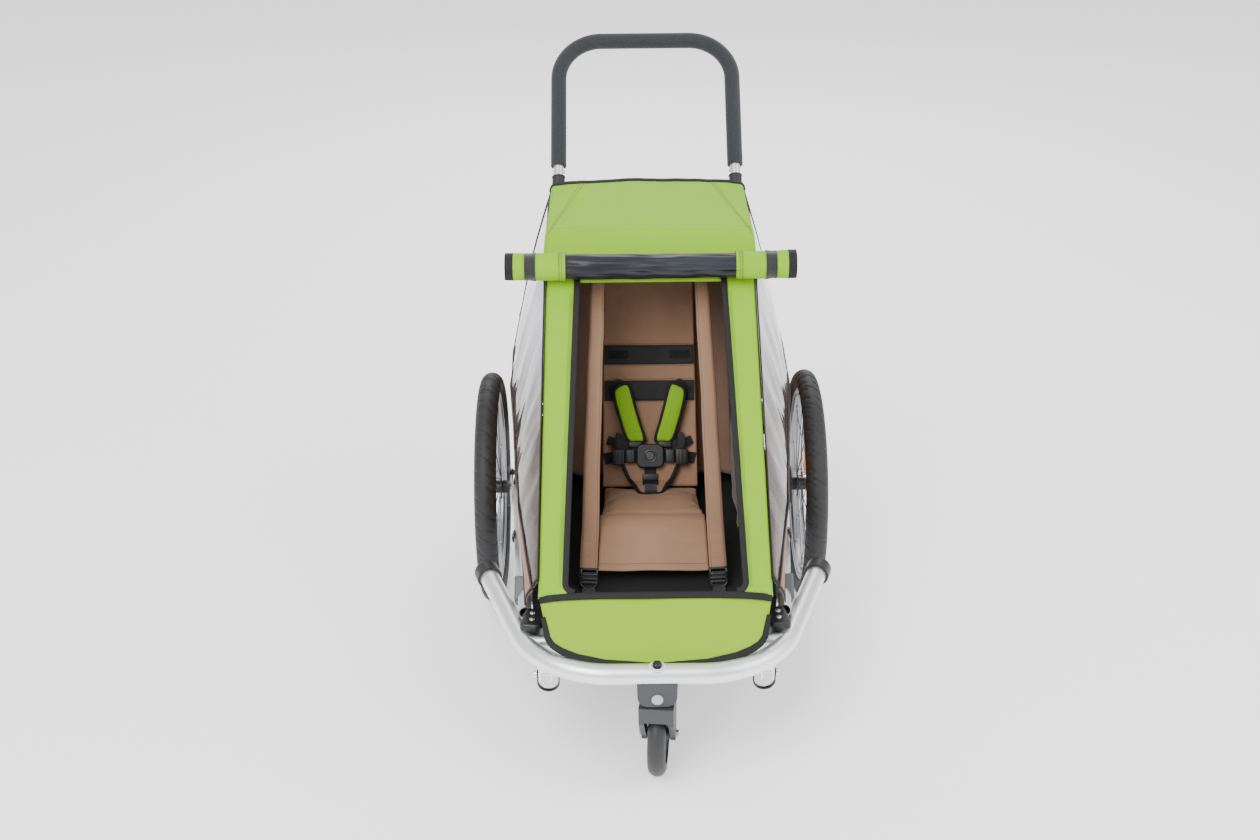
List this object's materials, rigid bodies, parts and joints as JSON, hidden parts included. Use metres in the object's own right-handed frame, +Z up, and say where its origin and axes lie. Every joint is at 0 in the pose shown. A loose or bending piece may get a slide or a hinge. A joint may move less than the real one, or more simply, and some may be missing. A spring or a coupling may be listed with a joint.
{
  "type": "child bicycle trailer",
  "caption": "Two-wheeled child bicycle trailer in stroller form, with a fabric cabin, open front, swivel front wheel and push bar.",
  "frame": {"origin": "on the ground, under the middle of the whole object's box", "axes": "+Z up, front of the cabin towards -Y, the child's left towards +X"},
  "size_m": [0.728, 1.1671, 1.1293],
  "materials": {
    "frame_aluminium": "satin anodised",
    "bumper_silver": "satin anodised",
    "black_plastic": "matte",
    "grey_plastic": "matte",
    "housing_grey": "matte",
    "button_grey": "gloss",
    "buckle_red": "gloss",
    "hitch_chrome": "polished",
    "strap_rubber": "matte",
    "axle_steel": "brushed",
    "tyre_rubber": "matte",
    "rim_alloy": "satin",
    "caster_rim_grey": "matte",
    "hub_black": "satin",
    "spoke_steel": "bright",
    "reflector_orange": "prismatic",
    "grip_foam": "fine foam",
    "cover_fabric": "coated woven",
    "wall_fabric": "coated woven, with clear film above",
    "floor_fabric": "coated woven",
    "seat_fabric": "woven",
    "harness_fabric": "padded woven"
  },
  "bodies": {
    "root": {"side_rail_left": "frame_aluminium", "side_rail_right": "frame_aluminium", "bumper_tube": "bumper_silver", "bumper_caps": "black_plastic", "front_cross_tube": "frame_aluminium", "rear_cross_tube": "frame_aluminium", "axle_tube": "frame_aluminium", "axle_clamps": "black_plastic", "corner_joints": "black_plastic", "rail_blocks": "grey_plastic", "floor_pan": "floor_fabric", "tow_brackets": "hitch_chrome", "pin_straps": "strap_rubber", "panel_knob": "black_plastic", "flag_socket": "black_plastic", "stub_axle_left": "axle_steel", "stub_axle_right": "axle_steel", "caster_housing": "housing_grey", "lower_front_panel": "cover_fabric", "side_wall_left": "wall_fabric", "side_wall_right": "wall_fabric", "rear_panel": "cover_fabric", "seat_base": "seat_fabric", "seat_back": "seat_fabric", "harness_pads": "harness_fabric", "harness_buckle": "black_plastic"},
    "wheel_left": {"tyre_left": "tyre_rubber", "rim_left": "rim_alloy", "hub_left": "hub_black", "spokes_left": "spoke_steel", "reflector_left": "reflector_orange"},
    "wheel_right": {"tyre_right": "tyre_rubber", "rim_right": "rim_alloy", "hub_right": "hub_black", "spokes_right": "spoke_steel", "reflector_right": "reflector_orange"},
    "hub_button_left": {"hub_button_left": "button_grey"},
    "hub_button_right": {"hub_button_right": "button_grey"},
    "brake": {"brake_pedal": "black_plastic"},
    "hitch_pin_left": {"hitch_pin_left": "hitch_chrome"},
    "hitch_pin_right": {"hitch_pin_right": "hitch_chrome"},
    "caster_swivel": {"caster_fork": "housing_grey", "caster_axle": "axle_steel"},
    "caster_wheel": {"caster_rim": "caster_rim_grey", "caster_tyre": "tyre_rubber"},
    "caster_button": {"caster_button": "button_grey"},
    "upper_frame": {"upper_tube_left": "frame_aluminium", "upper_tube_right": "frame_aluminium", "handle_sockets": "black_plastic", "top_bars": "frame_aluminium", "front_surround": "cover_fabric", "roof_cover": "cover_fabric", "cover_roll": "cover_fabric"},
    "stays_lower": {"stays_lower": "frame_aluminium"},
    "stays_upper": {"stays_upper": "frame_aluminium"},
    "handle": {"handle_tube": "frame_aluminium", "handle_foam": "grip_foam"},
    "snap_button_left": {"snap_button_left": "hitch_chrome"},
    "snap_button_right": {"snap_button_right": "hitch_chrome"},
    "buckle_button": {"buckle_button": "buckle_red"}
  },
  "joints": [
    {"name": "wheel_left_spin", "type": "hinge", "parent": "root", "child": "wheel_left", "pos_m": [0.338, 0.14236, 0.249], "axis": [1, 0, 0], "continuous": true},
    {"name": "wheel_right_spin", "type": "hinge", "parent": "root", "child": "wheel_right", "pos_m": [-0.338, 0.14236, 0.249], "axis": [1, 0, 0], "continuous": true},
    {"name": "hub_release_left", "type": "slide", "parent": "root", "child": "hub_button_left", "axis": [-1, 0, 0], "range_m": [0, 0.0025], "stiffness_N_per_m": 400},
    {"name": "hub_release_right", "type": "slide", "parent": "root", "child": "hub_button_right", "axis": [1, 0, 0], "range_m": [0, 0.0025], "stiffness_N_per_m": 400},
    {"name": "brake_pivot", "type": "hinge", "parent": "root", "child": "brake", "pos_m": [0, 0.22236, 0.24], "axis": [-1, 0, 0], "range_deg": [0, 12]},
    {"name": "hitch_pin_left_slide", "type": "slide", "parent": "root", "child": "hitch_pin_left", "axis": [1, 0, 0], "range_m": [0, 0.045]},
    {"name": "hitch_pin_right_slide", "type": "slide", "parent": "root", "child": "hitch_pin_right", "axis": [-1, 0, 0], "range_m": [0, 0.045]},
    {"name": "caster_swivel_turn", "type": "hinge", "parent": "root", "child": "caster_swivel", "pos_m": [0, -0.54764, 0.2], "axis": [0, 0, 1], "continuous": true},
    {"name": "caster_spin", "type": "hinge", "parent": "caster_swivel", "child": "caster_wheel", "pos_m": [0.0047, -0.50289, 0.081], "axis": [0.9945, -0.1045, 0], "continuous": true},
    {"name": "caster_release", "type": "slide", "parent": "root", "child": "caster_button", "axis": [0, 1, 0], "range_m": [0, 0.003], "stiffness_N_per_m": 400},
    {"name": "frame_fold", "type": "hinge", "parent": "root", "child": "upper_frame", "pos_m": [0, -0.46964, 0.292], "axis": [-1, 0, 0], "range_deg": [0, 33], "deforming": ["side_wall_left", "side_wall_right", "rear_panel", "seat_back", "harness_pads"]},
    {"name": "stay_lower_turn", "type": "hinge", "parent": "root", "child": "stays_lower", "pos_m": [0, 0.46236, 0.3], "axis": [1, 0, 0], "range_deg": [0, 70.4]},
    {"name": "stay_upper_turn", "type": "hinge", "parent": "upper_frame", "child": "stays_upper", "pos_m": [0, 0.26836, 0.85524], "axis": [-1, 0, 0], "range_deg": [0, 64.6]},
    {"name": "handle_slide", "type": "slide", "parent": "upper_frame", "child": "handle", "axis": [0, 0.7071, 0.7071], "range_m": [0, 0.022]},
    {"name": "snap_left_press", "type": "slide", "parent": "handle", "child": "snap_button_left", "axis": [1, 0, 0], "range_m": [0, 0.003], "stiffness_N_per_m": 400},
    {"name": "snap_right_press", "type": "slide", "parent": "handle", "child": "snap_button_right", "axis": [-1, 0, 0], "range_m": [0, 0.003], "stiffness_N_per_m": 400},
    {"name": "buckle_press", "type": "slide", "parent": "root", "child": "buckle_button", "axis": [0, 0.8876, -0.4606], "range_m": [0, 0.0032], "stiffness_N_per_m": 400}
  ],
  "couplings": [
    {"joint": "stay_lower_turn", "follows": "frame_fold", "ratio": 2.13},
    {"joint": "stay_upper_turn", "follows": "frame_fold", "ratio": 1.952}
  ]
}
